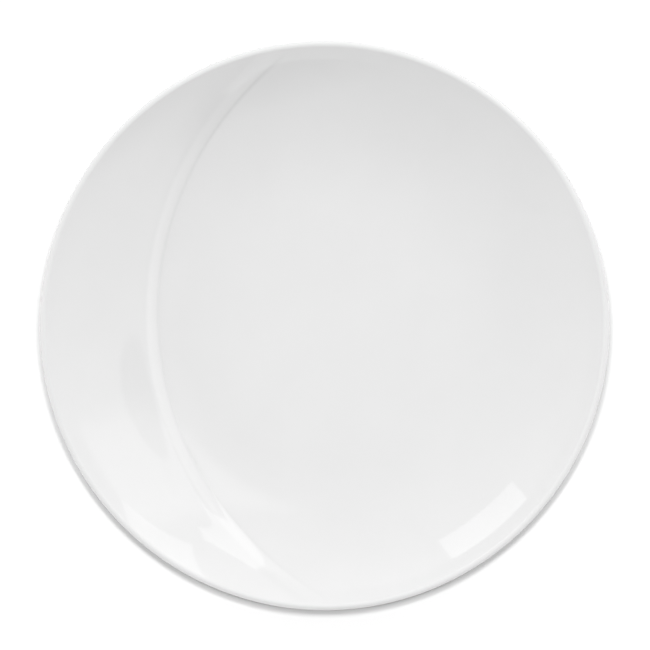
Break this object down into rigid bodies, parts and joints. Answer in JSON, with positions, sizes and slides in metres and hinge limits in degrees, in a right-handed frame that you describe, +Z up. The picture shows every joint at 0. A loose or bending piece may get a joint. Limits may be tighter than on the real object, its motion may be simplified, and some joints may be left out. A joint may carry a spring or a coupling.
{
  "type": "deep plate",
  "caption": "Round white porcelain deep plate with a coupe wall, a rounded lip, a foot ring and a crescent fold raised along one side of the well.",
  "frame": {"origin": "middle of the standing face of the foot ring", "axes": "+Z up along the plate's axis, -X towards the middle of the crescent"},
  "size_m": [0.25, 0.25, 0.038],
  "materials": {
    "porcelain": "bare fired porcelain, sanded smooth on the standing edge",
    "glaze": "glossy white glaze"
  },
  "bodies": {
    "root": {"porcelain_body": "porcelain", "glaze_coat": "glaze", "base_glaze": "glaze"}
  },
  "joints": []
}
